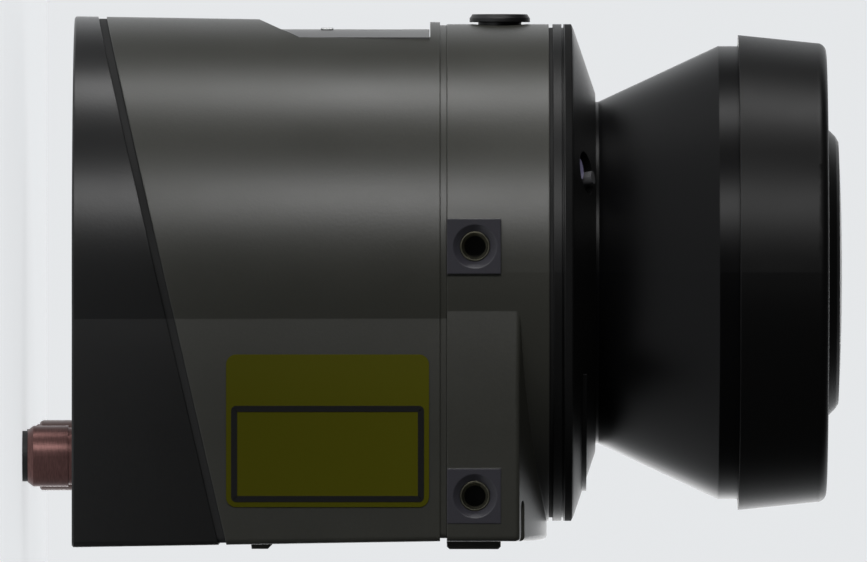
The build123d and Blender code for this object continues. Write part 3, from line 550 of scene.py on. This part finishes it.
QUARTER_TURN = math.pi / 2
side_places = [
    Matrix.Translation((side * side_mouth_x, y, thread_z)) @ Matrix.Rotation(side * QUARTER_TURN, 4, "Y")
    for side in (1, -1)
    for y in (side_middle_y - side_half, side_middle_y + side_half)
]
rear_places = [
    Matrix.Translation((x, rear_mouth_y, thread_z)) @ Matrix.Rotation(-QUARTER_TURN, 4, "X")
    for x in (-rear_half, rear_half)
]
add_inserts("side_inserts", side_places, "side_thread_inserts")
add_inserts("rear_inserts", rear_places, "rear_thread_inserts")

# %% [markdown]
# ## Frame on the label
# A dark printed frame lies on the yellow plate. It starts as a plate with rounded corners, an inset face
# gives its inner edge, and the inner part is deleted. A thin wall makes it a film of its own. The
# housing's side leans by the casting's draft, so the film is turned by that angle.

# %% A rounded frame of film
FRAME_BORDER = 1.0
FRAME_DEEP = 18.9
FRAME_LINE = 1.2
FRAME_CORNER = 1.0
CORNER_STEPS = 6
FILM_THICK = 0.05
label_low, label_high = (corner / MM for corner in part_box("label_plate"))
frame_long = label_high.z - label_low.z - 2 * FRAME_BORDER


def label_frame():
    """The frame lying flat, with its length along X."""
    shape = bmesh.new()
    bmesh.ops.create_grid(shape, x_segments=1, y_segments=1, size=0.5)
    bmesh.ops.scale(shape, vec=(frame_long, FRAME_DEEP, 1), verts=shape.verts)
    bmesh.ops.bevel(shape, geom=shape.verts[:], offset=FRAME_CORNER, affect="VERTICES",
                    segments=CORNER_STEPS, profile=0.5, material=-1)
    inner = bmesh.ops.inset_region(shape, faces=shape.faces[:], thickness=FRAME_LINE, use_boundary=True)
    ring = set(inner["faces"])
    bmesh.ops.delete(shape, geom=[face for face in shape.faces if face not in ring], context="FACES")
    bmesh.ops.solidify(shape, geom=shape.faces[:], thickness=FILM_THICK)
    return shape


print("frame in mm:", round(frame_long, 2), "by", FRAME_DEEP)

# %% Lay the frame on the plate
DRAFT = math.radians(0.93)
FILM_LIFT = 0.04
middle_z = (label_low.z + label_high.z) / 2
middle_y = label_high.y - FRAME_BORDER - FRAME_DEEP / 2
plate_x = label_high.x - (middle_z - label_low.z) * math.tan(DRAFT)
film = label_frame()
lying = Matrix((Vector((0, 0, 1)), Vector((0, 1, 0)), Vector((-1, 0, 0)))).transposed().to_4x4()
middle = Matrix.Translation((plate_x + FILM_LIFT, middle_y, middle_z))
stand = middle @ Matrix.Rotation(-DRAFT, 4, "Y") @ lying
bmesh.ops.transform(film, matrix=stand, verts=film.verts)
add_piece("label_frame", film, label_ink, "housing")
print("label face at x =", round(plate_x, 2), "mm")

# %% [markdown]
# ## Floor and backdrop
# The object stands on a pale floor before a pale backdrop, in a dim room. Light from such large pale
# faces would wash its blacks out. So they are pale to the camera, and to metal and gloss that mirror
# them, and give little light. The Light Path node tells these kinds of ray apart.

# %% Pale floor
FLOOR_SIZE = 0.6
FLOOR_SEEN = 0.66
PALE = (0.96, 0.98, 1.0, 1)
BLACK = (0, 0, 0, 1)


def seen_by(finish, *kinds):
    """1 for the named kinds of ray, such as Camera, and 0 for all others."""
    first, *others = [finish.node("LightPath", result=f"Is {kind} Ray") for kind in kinds]
    for ray in others:
        first = first.math("MAXIMUM", ray)
    return first


floor_shape = bmesh.new()
bmesh.ops.create_grid(floor_shape, x_segments=1, y_segments=1, size=FLOOR_SIZE / 2)
bmesh.ops.translate(floor_shape, vec=(0, 0, low_corner.z), verts=floor_shape.verts)
floor = linked("floor", floor_shape)
floor_pale = coated("floor_pale", screen(225, 227, 230), (0.8, 0.9), 5, 0.01, 0, 0.98)
floor_rays = seen_by(floor_pale, "Camera", "Glossy", "Transmission")
floor_pale.set(Emission_Color=blend(floor_pale, floor_rays, BLACK, PALE), Emission_Strength=FLOOR_SEEN)
floor.data.materials.append(floor_pale.owner)
print("floor at z =", round(low_corner.z / MM, 2), "mm")

# %% [markdown]
# The backdrop is a part of the sky. The camera sees it all round, so that every view has a pale
# background. Metal and gloss mirror it only from behind the sensor, where a real backdrop would hang.
# In a world, the Generated coordinates are the direction that a ray looks in.

# %% Sky with a pale backdrop behind the sensor
SKY_SEEN = 0.82
SKY_LIGHT = 0.05
BACKDROP_EDGE = (-0.85, -0.6)
world = bpy.data.worlds.new("studio")
bpy.context.scene.world = world
sky = Finish(world, "Background", "Generated")
behind = stretch(sky, coordinate(sky, "X"), *BACKDROP_EDGE, 1, 0)
pale = seen_by(sky, "Camera").math("MAXIMUM", seen_by(sky, "Glossy", "Transmission") * behind)
sky.set(Color=PALE, Strength=pale * (SKY_SEEN - SKY_LIGHT) + SKY_LIGHT)
print("sky seen:", SKY_SEEN, "sky light:", SKY_LIGHT)

# %% [markdown]
# ## Lights
# The picture has two long highlights along the housing. Strip lights give them: one about 34 degrees
# round from the camera, the other at the front of the sensor. A wide soft one lights the far side, so
# that the sensor can also be looked at from there.

# %% Strip lights
AIM = Vector((0, 0, 71 * MM))
LIGHT_DROP = 0.03
LIGHT_LENGTH = 0.9
LIGHTS = {
    "key_strip": {"azimuth": 34, "distance": 1.3, "width": 0.35, "power": 7.6},
    "front_strip": {"azimuth": 88.5, "distance": 1.3, "width": 0.35, "power": 6.8},
    "rear_soft": {"azimuth": 188, "distance": 1.6, "width": 1.0, "power": 6},
}


def strip_light(name, azimuth, distance, width, power):
    """An area light at an angle from the +X side towards the front, aimed at the sensor."""
    lamp = bpy.data.objects.new(name, bpy.data.lights.new(name, "AREA"))
    bpy.context.scene.collection.objects.link(lamp)
    lamp.data.shape = "RECTANGLE"
    lamp.data.size = width
    lamp.data.size_y = LIGHT_LENGTH
    lamp.data.energy = power
    lamp.visible_camera = False
    angle = math.radians(azimuth)
    level = Vector((math.cos(angle), -math.sin(angle), 0))
    lamp.location = AIM + level * distance - Vector((0, 0, LIGHT_DROP))
    lamp.rotation_mode = "QUATERNION"
    lamp.rotation_quaternion = (lamp.location - AIM).to_track_quat("Z", "Y")
    print(name, "at", [round(value, 2) for value in lamp.location])


for name, setting in LIGHTS.items():
    strip_light(name, **setting)
